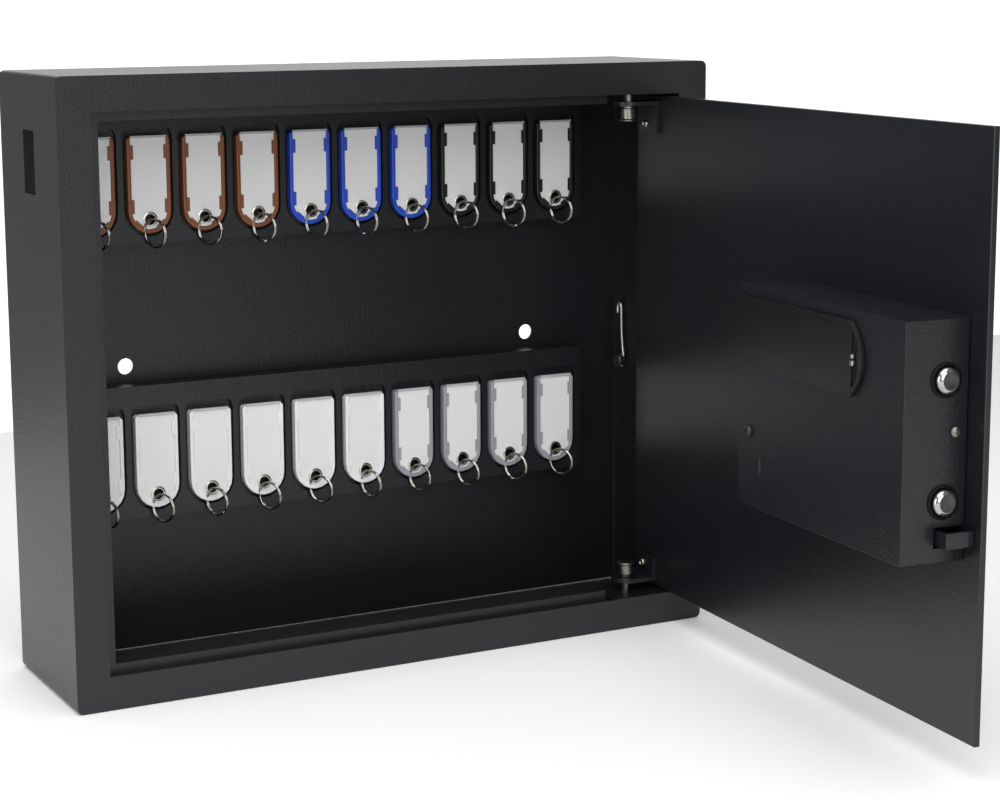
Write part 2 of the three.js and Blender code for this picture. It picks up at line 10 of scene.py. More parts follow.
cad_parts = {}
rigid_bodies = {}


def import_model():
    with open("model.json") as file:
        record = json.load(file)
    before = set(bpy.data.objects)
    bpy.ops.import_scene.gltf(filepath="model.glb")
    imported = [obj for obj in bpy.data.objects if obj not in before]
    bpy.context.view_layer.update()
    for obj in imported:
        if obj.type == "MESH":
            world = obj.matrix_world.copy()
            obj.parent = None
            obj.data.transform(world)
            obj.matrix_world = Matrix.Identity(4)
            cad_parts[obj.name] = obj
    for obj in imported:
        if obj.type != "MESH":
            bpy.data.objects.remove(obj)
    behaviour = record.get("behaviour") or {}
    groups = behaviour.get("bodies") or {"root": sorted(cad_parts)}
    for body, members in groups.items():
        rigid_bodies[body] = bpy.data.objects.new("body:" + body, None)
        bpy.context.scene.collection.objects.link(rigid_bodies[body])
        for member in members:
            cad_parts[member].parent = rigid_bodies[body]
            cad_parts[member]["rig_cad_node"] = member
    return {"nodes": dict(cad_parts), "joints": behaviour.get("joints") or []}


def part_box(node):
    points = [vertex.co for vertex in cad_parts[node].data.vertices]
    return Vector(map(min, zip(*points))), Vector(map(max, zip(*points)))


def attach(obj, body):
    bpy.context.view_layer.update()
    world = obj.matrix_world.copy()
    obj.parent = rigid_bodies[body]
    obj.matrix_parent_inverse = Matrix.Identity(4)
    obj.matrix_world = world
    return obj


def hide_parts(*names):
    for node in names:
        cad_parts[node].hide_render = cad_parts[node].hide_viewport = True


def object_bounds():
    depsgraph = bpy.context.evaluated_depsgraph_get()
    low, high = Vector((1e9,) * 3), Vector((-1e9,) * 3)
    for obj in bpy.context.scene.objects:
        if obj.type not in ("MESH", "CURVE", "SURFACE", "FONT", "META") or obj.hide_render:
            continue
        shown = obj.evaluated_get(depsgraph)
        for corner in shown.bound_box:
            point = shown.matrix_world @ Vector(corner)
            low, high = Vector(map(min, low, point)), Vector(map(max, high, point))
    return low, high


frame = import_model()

bl_info = {
    "name": "Key cabinet",
    "version": (1, 0, 0),
    "blender": (4, 5, 0),
    "location": "View3D > Sidebar > Key cabinet",
    "description": "Finishes and fine pieces for a wall key cabinet with a keypad lock",
    "category": "Object",
}

for left_over in [o for o in bpy.data.objects if "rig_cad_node" not in o and o.type != "EMPTY"]:
    bpy.data.objects.remove(left_over)
CAD_BOX = [list(corner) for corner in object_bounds()]

NODES = frame["nodes"]
TURN = 2 * math.pi
MM = Matrix.Scale(0.001, 4)
GAP_MM = 0.3      # left between two pieces that lie against each other
LEAF_MM = 2.2     # thickness of a hinge leaf
CRANK_MM = 10.6   # from the knob's axis to the middle of its crank's pin
JOINTS = {joint["name"]: joint for joint in frame["joints"]}

# Turns what was made along Y to lie along X.
ALONG_X = Matrix.Rotation(-TURN / 4, 4, "Z")

# The door's pieces are worked out as if it were shut, then turned about its hinge.
HINGE = Matrix.Translation(JOINTS["door_hinge"]["pos_m"])
SWING = math.radians(JOINTS["door_hinge"]["range_deg"][0])
DOOR = HINGE @ Matrix.Rotation(-SWING, 4, "Z") @ HINGE.inverted()
SHUT = Matrix.Scale(1000, 4) @ DOOR.inverted()
ON_DOOR = DOOR @ MM


def door_box(node):
    """Lowest and highest corner of a door piece in millimetres, with the door shut."""
    points = [SHUT @ v.co for v in NODES[node].data.vertices]
    low = Vector(min(p[i] for p in points) for i in range(3))
    high = Vector(max(p[i] for p in points) for i in range(3))
    return low, high


def open_box(node):
    """Lowest and highest corner of a cabinet piece in millimetres."""
    low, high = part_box(node)
    return low * 1000, high * 1000


# ---------------------------------------------------------------- finishes
class Value:
    """A shader socket that takes part in Python arithmetic."""

    def __init__(self, finish, socket):
        self.finish = finish
        self.socket = socket

    def math(self, operation, *others):
        return self.finish.node("ShaderNodeMath", {"operation": operation}, dict(enumerate(others)))

    def __add__(self, other):
        return self.math("ADD", self, other)

    def __radd__(self, other):
        return self.math("ADD", other, self)

    def __mul__(self, other):
        return self.math("MULTIPLY", self, other)

    def __rmul__(self, other):
        return self.math("MULTIPLY", other, self)


class Finish:
    """A material with one Principled shader, built a node at a time."""

    def __init__(self, name, **constants):
        self.material = bpy.data.materials.new(name)
        self.material.use_nodes = True
        self.tree = self.material.node_tree
        self.shader = self.tree.nodes["Principled BSDF"]
        for socket, value in constants.items():
            self.shader.inputs[socket.replace("_", " ")].default_value = value
        self.place = self.node("ShaderNodeTexCoord", {}, {}, "Object")

    def node(self, kind, settings, sockets, output=0):
        """A new shader node with its settings made and its sockets fed, as the value of one output."""
        made = self.tree.nodes.new(kind)
        for name, value in settings.items():
            setattr(made, name, value)
        for name, value in sockets.items():
            if isinstance(value, Value):
                self.tree.links.new(value.socket, made.inputs[name])
            else:
                made.inputs[name].default_value = value
        return Value(self, made.outputs[output])

    def noise(self, per_metre, detail=2.0, roughness=0.5, stretch=None):
        """Cloudy noise between 0 and 1, with a number of cells in a metre."""
        place = self.place
        if stretch:
            place = self.node("ShaderNodeMapping", {}, {"Vector": self.place, "Scale": stretch})
        return self.node("ShaderNodeTexNoise", {}, {
            "Vector": place, "Scale": per_metre, "Detail": detail, "Roughness": roughness})

    def tint(self, factor, one, other):
        """A colour between two others."""
        return self.node("ShaderNodeMix", {"data_type": "RGBA"}, {
            0: factor, 6: (*one, 1.0), 7: (*other, 1.0)}, 2)

    def feed(self, socket, value):
        """Links a value to a socket of the Principled shader."""
        self.tree.links.new(value.socket, self.shader.inputs[socket])

    def bump(self, height, strength, depth):
        """Surface relief, with its depth in metres."""
        self.feed("Normal", self.node("ShaderNodeBump", {}, {
            "Strength": strength, "Distance": depth, "Height": height}, "Normal"))


def shade(colour, factor):
    """A colour made darker or lighter by a factor."""
    return tuple(c * factor for c in colour)


FINISHES = {}


def finish(name):
    """The named material, made on its first use."""
    if name not in FINISHES:
        FINISHES[name] = MAKERS[name]().material
    return FINISHES[name]


def powder_coat(name, lift=1.0, gloss=0.0, relief=1.0):
    """Dark graphite powder coat: fine orange peel, with a little drift in tone and gloss."""
    look = bpy.context.scene.key_cabinet_steel
    colour = shade(look.colour, lift)
    made = Finish(name, IOR=1.5)
    cells = 1000 / look.peel_mm
    peel = made.noise(cells, 2.0, 0.55)
    grain = made.noise(cells * 3.1, 1.0)
    drift = made.noise(9.0, 3.0)
    speck = made.noise(cells * 1.7, 0.0)
    made.feed("Base Color", made.tint(drift * 0.6 + speck * 0.4, shade(colour, 0.82), shade(colour, 1.2)))
    made.feed("Roughness", (look.roughness - gloss - 0.06) + peel * 0.08 + drift * 0.06)
    made.bump(peel + grain * 0.35, look.relief * relief, 0.0003)
    return made


def zinc_plate(name, dark, light):
    """Zinc plate with faint clouding and fine scratches."""
    made = Finish(name, Metallic=1.0)
    cloud = made.noise(160.0, 3.0)
    scratch = made.noise(900.0, 2.0, 0.6, (1.0, 1.0, 0.08))
    made.feed("Base Color", made.tint(cloud, dark, light))
    made.feed("Roughness", 0.2 + cloud * 0.12 + scratch * 0.1)
    made.bump(scratch, 0.12, 0.00005)
    return made


def brushed_zinc():
    """Stamped and plated slide, with its rolling marks."""
    made = Finish("Plated slide", Metallic=1.0)
    lines = made.noise(700.0, 2.0, 0.6, (1.0, 0.1, 1.0))
    cloud = made.noise(60.0, 2.0)
    made.feed("Base Color", made.tint(cloud, (0.42, 0.43, 0.43), (0.6, 0.59, 0.55)))
    made.feed("Roughness", 0.28 + lines * 0.16)
    made.bump(lines, 0.15, 0.00006)
    return made


def bolt_chrome():
    """Polished chrome with the lightest turning marks."""
    made = Finish("Polished chrome", Metallic=1.0)
    smear = made.noise(220.0, 2.0)
    marks = made.noise(2600.0, 1.0, 0.5)
    made.feed("Base Color", made.tint(smear, (0.28, 0.285, 0.29), (0.5, 0.5, 0.5)))
    made.feed("Roughness", 0.05 + smear * 0.07 + marks * 0.03)
    made.bump(marks, 0.05, 0.00002)
    return made


def bolt_face_painted_shade():
    """The faced end of a bolt: chrome given a near-black base as painted shade, standing in for the dark
    reflection on the end face; its turning marks roughen it.
    """
    made = Finish("Faced bolt end", Metallic=1.0)
    smear = made.noise(260.0, 2.0)
    marks = made.noise(1900.0, 2.0, 0.6)
    # Painted shade: this near-black base stands in for the dark reflection that the chrome shows on the end
    # face.
    made.feed("Base Color", made.tint(smear, (0.035, 0.036, 0.038), (0.14, 0.14, 0.14)))
    made.feed("Roughness", 0.22 + smear * 0.1 + marks * 0.08)
    made.bump(marks, 0.15, 0.00003)
    return made


def ring_nickel():
    """Nickel wire, a little warm, with rolled edges that break up its shine."""
    made = Finish("Nickel wire", Metallic=1.0)
    cloud = made.noise(420.0, 2.0)
    made.feed("Base Color", made.tint(cloud, (0.36, 0.34, 0.3), (0.66, 0.64, 0.58)))
    made.feed("Roughness", 0.13 + cloud * 0.14)
    made.bump(cloud, 0.1, 0.00004)
    return made


def moulded(name, colour, roughness, grain=2400.0, relief=0.25, drift=0.14, **constants):
    """Moulded plastic with a fine spark-eroded grain."""
    made = Finish(name, **constants)
    fine = made.noise(grain, 2.0, 0.6)
    broad = made.noise(70.0, 2.0)
    made.feed("Base Color", made.tint(broad, shade(colour, 1 - drift), shade(colour, 1 + drift)))
    made.feed("Roughness", (roughness - 0.05) + fine * 0.06 + broad * 0.05)
    made.bump(fine, relief, 0.00006)
    return made


def label_paper():
    """White paper behind a clear cover: soft fibres under a clear gloss."""
    look = bpy.context.scene.key_cabinet_tags
    tone = look.label_tone
    made = Finish("Label paper", Coat_Roughness=0.12)
    fibre = made.noise(1500.0, 4.0, 0.65)
    wave = made.noise(45.0, 2.0)
    shadow = shade((tone,) * 3, 0.93)
    made.feed("Base Color", made.tint(fibre * 0.5 + wave * 0.5, shadow, (tone, tone, tone * 1.01)))
    made.feed("Roughness", 0.5 + fibre * 0.15)
    made.feed("Coat Weight", 0.25 + wave * 0.2)
    made.bump(wave + fibre * 0.15, 0.25, 0.00008)
    return made


def printed_ink():
    """Near-black ink, worn a little unevenly."""
    made = Finish("Printed figure ink")
    wear = made.noise(1800.0, 2.0)
    made.feed("Base Color", made.tint(wear, (0.012, 0.013, 0.016), (0.035, 0.037, 0.042)))
    made.feed("Roughness", 0.4 + wear * 0.15)
    return made


def coil_copper():
    """Varnished wire, wound in level turns."""
    made = Finish("Varnished copper winding", Metallic=0.85)
    turns = made.node("ShaderNodeTexWave", {"bands_direction": "Z"}, {
        "Vector": made.place, "Scale": 900.0, "Distortion": 0.4, "Detail": 1.0}, 1)
    cloud = made.noise(200.0, 2.0)
    made.feed("Base Color", made.tint(cloud, (0.36, 0.15, 0.06), (0.6, 0.28, 0.12)))
    made.feed("Roughness", 0.3 + turns * 0.15)
    made.bump(turns, 0.5, 0.00012)
    return made


def lens(name, colour):
    """Tinted lamp lens."""
    made = Finish(name, Transmission_Weight=0.3, IOR=1.46)
    depth = made.noise(500.0, 2.0)
    made.feed("Base Color", made.tint(depth, shade(colour, 0.7), colour))
    made.feed("Roughness", 0.12 + depth * 0.1)
    return made


def stage_floor():
    """Matt floor, nearly white, with the faintest clouding."""
    look = bpy.context.scene.key_cabinet_stage
    made = Finish("Pale floor")
    cloud = made.noise(1.5, 2.0)
    made.feed("Base Color", made.tint(cloud, shade((look.floor_tone,) * 3, 0.985), (look.floor_tone,) * 3))
    made.feed("Roughness", 0.62 + cloud * 0.08)
    return made


def tag_plastic(key):
    """The maker of a tag's plastic, in the colour that the settings give."""
    return lambda: moulded("Tag plastic, " + key, tuple(getattr(bpy.context.scene.key_cabinet_tags, key)),
                           0.34, 1700.0, 0.16, 0.06)


MAKERS = {
    "coat": lambda: powder_coat("Graphite powder coat"),
    "coat door": lambda: powder_coat("Graphite powder coat, door", 0.9, 0.07, 0.6),
    "coat case": lambda: powder_coat("Graphite powder coat, lock case", 1.0, 0.05, 1.0),
    "coat fitting": lambda: powder_coat("Graphite powder coat, hinges", 0.9, 0.04, 0.7),
    "zinc": lambda: zinc_plate("Bright zinc plate", (0.42, 0.44, 0.45), (0.64, 0.64, 0.61)),
    "dull zinc": lambda: zinc_plate("Dull zinc plate", (0.13, 0.135, 0.13), (0.34, 0.33, 0.29)),
    "slide": brushed_zinc,
    "chrome": bolt_chrome,
    "nickel": ring_nickel,
    # Near-black lining for the eyelets' holes: painted shade inside the hole, not the eyelet's own nickel.
    "bore": lambda: moulded("Shaded bore", (0.006, 0.006, 0.006), 0.6, 1500.0, 0.1, 0.1, Metallic=0.5),
    "bolt face shade": bolt_face_painted_shade,
    "housing": lambda: moulded("Black grained plastic", (0.012, 0.012, 0.013), 0.46, 2200.0, 0.5),
    "cover": lambda: moulded("Black satin plastic", (0.006, 0.0055, 0.0062), 0.3, 2600.0, 0.12),
    # Near-black, with a low IOR that dims its sheen: painted shadow of the gap round each bolt.
    "bush": lambda: moulded("Black nylon", (0.003, 0.003, 0.003), 0.62, 2000.0, 0.15, 0.14, IOR=1.25),
    "key": lambda: moulded("Pale grey key rubber", (0.5, 0.51, 0.52), 0.55, 2600.0, 0.3, 0.04),
    "ink": printed_ink,
    "label": label_paper,
    "clear": lambda: moulded("Clear cover lip", (0.62, 0.63, 0.65), 0.2, 2000.0, 0.05, 0.05,
                             Transmission_Weight=0.35),
    "copper": coil_copper,
    "tray": lambda: moulded("Battery tray", (0.02, 0.02, 0.022), 0.42, 2000.0, 0.3),
    "sleeve": lambda: moulded("Cell sleeve", (0.03, 0.085, 0.07), 0.24, 900.0, 0.05, 0.05, Metallic=0.3),
    "green lens": lambda: lens("Green lamp lens", (0.05, 0.4, 0.08)),
    "red lens": lambda: lens("Red lamp lens", (0.5, 0.03, 0.02)),
    "floor": stage_floor,
    "tag brown": tag_plastic("brown"),
    "tag blue": tag_plastic("blue"),
    "tag black": tag_plastic("black"),
    "tag white": tag_plastic("white"),
    "tag grey": tag_plastic("grey"),
}


# ---------------------------------------------------------------- mesh helpers
SHARP_ANGLE = 35.0   # degrees that an edge turns by before it counts as sharp
WELD_MM = 1e-4       # corners nearer to each other than this are one
NODE_WELD_M = 2e-6   # the same, in metres, for a carried-over piece


def slab(points, depth, soften=0.0, segments=2):
    """An outline in X and Z, given a depth along +Y and softened edges."""
    bm = bmesh.new()
    face = bm.faces.new([bm.verts.new((x, 0, z)) for x, z in points])
    grown = bmesh.ops.extrude_face_region(bm, geom=[face], use_keep_orig=True)["geom"]
    bmesh.ops.translate(bm, verts=verts_of(grown), vec=(0, depth, 0))
    bmesh.ops.recalc_face_normals(bm, faces=bm.faces)
    if soften:
        ease(bm, soften, segments)
    return bm


def verts_of(geometry):
    """The vertices among the results of an extrusion."""
    return [part for part in geometry if isinstance(part, bmesh.types.BMVert)]


def ease(bm, width, segments=2, angle=SHARP_ANGLE):
    """Bevels every edge that turns by more than an angle."""
    limit = math.radians(angle)
    sharp = [e for e in bm.edges if len(e.link_faces) == 2 and e.calc_face_angle(0) > limit]
    bmesh.ops.bevel(bm, geom=sharp, offset=width, offset_type="OFFSET", affect="EDGES", segments=segments,
                    profile=0.5, material=-1, clamp_overlap=True)


def turned(profile, steps=32, closed=False):
    """A profile of radius and height, turned about the Y axis."""
    bm = bmesh.new()
    verts = [bm.verts.new((r, h, 0)) for r, h in profile]
    edges = [bm.edges.new(pair) for pair in zip(verts, verts[1:])]
    if closed:
        edges.append(bm.edges.new((verts[-1], verts[0])))
    bmesh.ops.spin(bm, geom=verts + edges, cent=(0, 0, 0), axis=(0, 1, 0), dvec=(0, 0, 0), angle=TURN,
                   steps=steps, use_merge=True, use_duplicate=False)
    bmesh.ops.remove_doubles(bm, verts=bm.verts, dist=WELD_MM)
    bmesh.ops.recalc_face_normals(bm, faces=bm.faces)
    return bm


def block(low, high, soften=0.0, segments=2):
    """A box between two corners, with softened edges."""
    bm = bmesh.new()
    bmesh.ops.create_cube(bm, size=1.0)
    size = Vector(high) - Vector(low)
    bmesh.ops.scale(bm, verts=bm.verts, vec=size)
    bmesh.ops.translate(bm, verts=bm.verts, vec=(Vector(low) + Vector(high)) / 2)
    if soften:
        ease(bm, soften, segments)
    return bm


def joined(*parts):
    """Several meshes as one, each of them a (mesh, matrix, material index)."""
    whole = bmesh.new()
    for bm, matrix, index in parts:
        bm.transform(matrix)
        for face in bm.faces:
            face.material_index = index
        mesh = bpy.data.meshes.new("part")
        bm.to_mesh(mesh)
        bm.free()
        whole.from_mesh(mesh)
        bpy.data.meshes.remove(mesh)
    return whole


def at(x, y, z):
    """The matrix that moves a thing to a place."""
    return Matrix.Translation((x, y, z))


def piece(name, bm, matrix, materials, body, replaces=(), sharp=SHARP_ANGLE):
    """Turns a mesh in millimetres into a finished piece that rides on a body and may replace nodes."""
    bm.transform(matrix)
    mesh = bpy.data.meshes.new(name)
    bm.to_mesh(mesh)
    bm.free()
    for key in materials:
        mesh.materials.append(finish(key))
    mesh.shade_smooth()
    mesh.set_sharp_from_angle(angle=math.radians(sharp))
    made = bpy.data.objects.new(name, mesh)
    bpy.context.scene.collection.objects.link(made)
    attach(made, body)
    if replaces:
        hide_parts(*replaces)


def dress(node, key, edge_mm=0.0, segments=2):
    """Gives a carried-over piece its finish, and softens its edges."""
    node = NODES[node]
    node.data.materials.clear()
    node.data.materials.append(finish(key))
    weld = node.modifiers.new("Weld", "WELD")
    weld.merge_threshold = NODE_WELD_M
    if edge_mm:
        bevel = node.modifiers.new("Bevel", "BEVEL")
        bevel.width = edge_mm / 1000
        bevel.segments = segments
        bevel.limit_method = "ANGLE"
        bevel.angle_limit = math.radians(SHARP_ANGLE)
        bevel.use_clamp_overlap = True
    even = node.modifiers.new("Weighted normals", "WEIGHTED_NORMAL")
    even.keep_sharp = False


# ---------------------------------------------------------------- settings
class SteelSettings(bpy.types.PropertyGroup):
    """The cabinet's sheet steel."""

    colour: FloatVectorProperty(
        name="Coat colour", description="Colour of the powder coat", subtype="COLOR", size=3, min=0, max=1,
        default=(0.0058, 0.0068, 0.0088))
    roughness: FloatProperty(
        name="Coat roughness", description="Roughness of the powder coat", subtype="FACTOR", min=0, max=1,
        default=0.36)
    peel_mm: FloatProperty(
        name="Orange peel", description="Size of the coat's orange peel in millimetres", min=0.3, max=4,
        default=1.5)
    relief: FloatProperty(
        name="Relief", description="Strength of the orange peel", subtype="FACTOR", min=0, max=1,
        default=0.55)
    edge_mm: FloatProperty(
        name="Bend radius", description="Softness of the sheet's bent and cut edges in millimetres",
        min=0, max=1, default=0.45)


class TagSettings(bpy.types.PropertyGroup):
    """The key tags, their labels and rings."""

    brown: FloatVectorProperty(name="Brown", description="First tag colour", subtype="COLOR", size=3,
                               min=0, max=1, default=(0.2, 0.062, 0.018))
    blue: FloatVectorProperty(name="Blue", description="Second tag colour", subtype="COLOR", size=3,
                              min=0, max=1, default=(0.02, 0.07, 0.5))
    black: FloatVectorProperty(name="Black", description="Third tag colour", subtype="COLOR", size=3,
                               min=0, max=1, default=(0.012, 0.012, 0.013))
    white: FloatVectorProperty(name="White", description="Fourth tag colour", subtype="COLOR", size=3,
                               min=0, max=1, default=(0.8, 0.79, 0.82))
    grey: FloatVectorProperty(name="Grey", description="Fifth tag colour", subtype="COLOR", size=3,
                              min=0, max=1, default=(0.3, 0.31, 0.34))
    label_tone: FloatProperty(name="Label", description="Brightness of the label paper", subtype="FACTOR",
                              min=0, max=1, default=0.78)
    ring_mm: FloatProperty(name="Ring", description="Outer diameter of a split ring in millimetres",
                           min=10, max=20, default=15.0)
    seed: IntProperty(name="Ring seed", description="Seed for the way each ring hangs", default=7)


class LockSettings(bpy.types.PropertyGroup):
    """The lock's small parts."""

    bush_mm: FloatProperty(name="Bolt bush", description="Outer diameter of the bolt bushes in millimetres",
                           min=13, max=18, default=15.4)
    figure_mm: FloatProperty(name="Figures", description="Height of the keypad's figures in millimetres",
                             min=2, max=8, default=5.4)
    rivet_mm: FloatProperty(name="Rivet", description="Diameter of the hinge leaf's rivets in millimetres",
                            min=2, max=7, default=4.6)


class StageSettings(bpy.types.PropertyGroup):
    """The camera, the lights and the floor."""

    floor_tone: FloatProperty(name="Floor", description="Brightness of the floor", subtype="FACTOR",
                              min=0, max=1, default=0.97)
    floor_m: FloatProperty(name="Floor size", description="Side of the square floor", subtype="DISTANCE",
                           unit="LENGTH", min=1, max=20, default=2.6)
    sky: FloatProperty(name="Surround", description="Strength of the even light all round", min=0, max=5,
                       default=0.32)
    backdrop: FloatProperty(name="Backdrop", description="Strength of the light from behind", min=0, max=5,
                            default=1.3)
    top_light: FloatProperty(name="Top light", description="Power of the light above", subtype="POWER",
                             unit="POWER", min=0, max=500, default=16.0)
    side_light: FloatProperty(name="Side light", description="Power of the light on the left",
                              subtype="POWER", unit="POWER", min=0, max=500, default=11.0)
    front_light: FloatProperty(name="Front light", description="Power of the light in front",
                               subtype="POWER", unit="POWER", min=0, max=500, default=16.0)
    lens_mm: FloatProperty(name="Lens", description="Focal length on a 36 mm sensor",
                           subtype="DISTANCE_CAMERA", min=20, max=200, default=80.79)


# ---------------------------------------------------------------- cabinet
class KEYCAB_OT_steelwork(bpy.types.Operator):
    """Finish the shell, the rear panel, the rails and the door plate"""

    bl_idname = "keycab.steelwork"
    bl_label = "Steelwork"

    def execute(self, context):
        edge = context.scene.key_cabinet_steel.edge_mm
        dress("outer_shell", "coat", edge, 3)
        dress("back_panel", "coat", edge * 0.5)
        dress("key_rail_upper", "coat", edge * 0.8)
        dress("key_rail_lower", "coat", edge * 0.8)
        dress("door_plate", "coat door", edge * 1.2, 3)
        return {"FINISHED"}


class KEYCAB_OT_hinges(bpy.types.Operator):
    """Finish the brackets, leaves and pins, and add the leaves' rivets"""

    bl_idname = "keycab.hinges"
    bl_label = "Hinges and spring"

    def execute(self, context):
        for end in ("upper", "lower"):
            dress("hinge_bracket_" + end, "coat fitting", 0.3)
            dress("hinge_leaf_" + end, "coat fitting", 0.3)
            dress("hinge_pin_" + end, "dull zinc", 0.2)
            self.dimple(context, end)
        dress("door_spring", "zinc")
        dress("spring_screw", "dull zinc", 0.25)
        return {"FINISHED"}

    def dimple(self, context, end):
        """The pressed rivet near the free end of a leaf's tab."""
        inset = 7.5
        rise = 4.6
        low, high = door_box("hinge_leaf_" + end)
        rear = door_box("door_plate")[1].y + GAP_MM + LEAF_MM
        r = context.scene.key_cabinet_lock.rivet_mm / 2
        profile = [(0, 0.5), (r * 0.5, 0.55), (r * 0.62, 1.1), (r * 0.85, 0.95), (r, 0.3), (r, -0.5),
                   (0, -0.5)]
        z = low.z + rise if end == "upper" else high.z - rise
        head = turned(profile, 24)
        piece("leaf_rivet_" + end, head, ON_DOOR @ at(high.x - inset, rear, z), ["dull zinc"], "door")


# ---------------------------------------------------------------- key tags
TAG_ROWS = (("upper", 10), ("lower", 10))
TAG_COLOURS = {
    "upper": ["tag brown"] * 4 + ["tag blue"] * 3 + ["tag black"] * 3,
    "lower": ["tag white"] * 6 + ["tag grey"] * 4,
}
TAG_RIM = 1.9     # width of the rim round a tag's recess
EYELET_UP = 7.0   # from a tag's lower end to its eyelet


def every_tag():
    """Each tag's row and number, body, matrix of its front's bottom middle, width, height and colour."""
    for row, count in TAG_ROWS:
        for i in range(count):
            label = f"{row}_{i + 1:02d}"
            low, high = open_box("key_tag_" + label)
            matrix = MM @ at((low.x + high.x) / 2, low.y, low.z)
            yield label, "tag_" + label, matrix, high.x - low.x, high.z - low.z, TAG_COLOURS[row][i]


class KEYCAB_OT_tags(bpy.types.Operator):
    """Finish each key tag and add the clips that hold its label"""

    bl_idname = "keycab.tags"
    bl_label = "Key tags"

    def execute(self, context):
        for label, body, matrix, width, height, colour in every_tag():
            dress("key_tag_" + label, colour, 0.35)
            piece("tag_clips_" + label, self.clips(width, height), matrix, [colour], body)
        return {"FINISHED"}

    def clips(self, width, height):
        """Two clips up each side, and one on each side of the rounded lower end."""
        length = 7.0
        front, rear = 0.04, 0.46
        root = 0.25
        half = 2.6
        soften = 0.12
        edge = width / 2 - TAG_RIM
        parts = []
        for side in (-1, 1):
            for bottom in (10.0, height - 11.0):
                x = sorted((side * (edge + root), side * (edge - 1.45)))
                clip = block((x[0], front, bottom), (x[1], rear, bottom + length), soften, 1)
                parts.append((clip, Matrix(), 0))
            angle = math.radians(41) * side
            lift = at(0, 0, width / 2) @ Matrix.Rotation(-angle, 4, "Y")
            tab = block((-half, front, -edge - root), (half, rear, -edge + 1.35), soften, 1)
            parts.append((tab, lift, 0))
        return joined(*parts)


class KEYCAB_OT_labels(bpy.types.Operator):
    """Add each tag's paper label and the lip of its clear cover"""

    bl_idname = "keycab.labels"
    bl_label = "Labels"

    def execute(self, context):
        for label, body, matrix, width, height, _ in every_tag():
            piece("tag_label_" + label, self.label(width, height), matrix, ["label"], body)
            bottom = height - 0.5
            top = height + 0.7
            lip = slab([(-9.1, bottom), (9.1, bottom), (9.9, top), (-9.9, top)], 0.36, 0.1, 1)
            piece("tag_lip_" + label, lip, matrix @ at(0, -0.4, 0), ["clear"], body)
        return {"FINISHED"}

    def label(self, width, height):
        """A sheet with a rounded lower end and a hole for the eyelet."""
        thick = 0.3
        setback = 0.52
        hole_r = 2.9
        heights = (18.0, 26.0, 34.0, 41.0)
        arc = 16
        half = width / 2 - TAG_RIM - 0.2
        top = height - 0.15
        middle = Vector((0, 0, EYELET_UP))
        centre = Vector((0, 0, width / 2))
        outline = []
        for i in range(arc + 1):
            a = math.pi + math.pi * i / arc
            outline.append(centre + Vector((half * math.cos(a), 0, half * math.sin(a))))
        outline += [Vector((half, 0, z)) for z in heights]
        outline += [Vector((x * half, 0, top)) for x in (1, 0.5, 0, -0.5, -1)]
        outline += [Vector((-half, 0, z)) for z in reversed(heights)]
        bm = bmesh.new()
        outer = [bm.verts.new(p) for p in outline]
        inner = [bm.verts.new(middle + (p - middle).normalized() * hole_r) for p in outline]
        loops = []
        for ring in (outer, inner):
            loops += [bm.edges.new((a, b)) for a, b in zip(ring, ring[1:] + ring[:1])]
        faces = bmesh.ops.bridge_loops(bm, edges=loops)["faces"]
        grown = bmesh.ops.extrude_face_region(bm, geom=faces, use_keep_orig=True)["geom"]
        bmesh.ops.translate(bm, verts=verts_of(grown), vec=(0, thick, 0))
        bmesh.ops.translate(bm, verts=bm.verts, vec=(0, setback, 0))
        bmesh.ops.recalc_face_normals(bm, faces=bm.faces)
        return bm


class KEYCAB_OT_rings(bpy.types.Operator):
    """Add each tag's eyelet and split ring"""

    bl_idname = "keycab.rings"
    bl_label = "Eyelets and rings"

    def execute(self, context):
        below_eyelet = 6.4
        behind_front = 1.25
        look = context.scene.key_cabinet_tags
        draw = random.Random(look.seed)
        for label, body, matrix, _, _, _ in every_tag():
            flange = [(2.4, 0.5), (2.46, 0.12), (2.7, -0.14), (3.2, -0.18), (3.75, 0.06), (3.9, 0.5)]
            # The bore tube takes the near-black lining as painted shade inside the eyelet's hole.
            bore = [(2.38, 4.6), (2.38, 0.2), (2.55, 0.2), (2.55, 4.6)]
            eyelet = joined((turned(flange, 28, True), Matrix(), 0), (turned(bore, 28, True), Matrix(), 1))
            piece("tag_eyelet_" + label, eyelet, matrix @ at(0, 0, EYELET_UP), ["nickel", "bore"], body)
            swing = math.radians(draw.uniform(58, 70))
            r = look.ring_mm / 2
            back = behind_front - r * math.sin(swing)
            hang = at(0.4 + draw.uniform(-0.4, 0.4), back, EYELET_UP - below_eyelet + draw.uniform(-0.2, 0.2))
            turn = Matrix.Rotation(-swing, 4, "Z") @ Matrix.Rotation(draw.uniform(0, TURN), 4, "Y")
            piece("tag_ring_" + label, self.ring(r), matrix @ hang @ turn, ["nickel"], body)
        return {"FINISHED"}

    def ring(self, r):
        """Flat wire wound nearly twice round."""
        turns = 1.9
        pitch = 0.86
        wide = 1.0
        high = 0.8
        steps = 64
        bm = bmesh.new()
        corners = [(r - wide, 0), (r, 0), (r, high), (r - wide, high)]
        verts = [bm.verts.new((x, y - pitch * turns / 2 - high / 2, 0)) for x, y in corners]
        edges = [bm.edges.new((a, b)) for a, b in zip(verts, verts[1:] + verts[:1])]
        bmesh.ops.spin(bm, geom=verts + edges, cent=(0, 0, 0), axis=(0, 1, 0),
                       dvec=(0, pitch * turns / steps, 0), angle=TURN * turns, steps=steps,
                       use_merge=False, use_duplicate=False)
        bmesh.ops.holes_fill(bm, edges=[e for e in bm.edges if e.is_boundary], sides=4)
        bmesh.ops.recalc_face_normals(bm, faces=bm.faces)
        ease(bm, 0.14, 1, 60)
        return bm


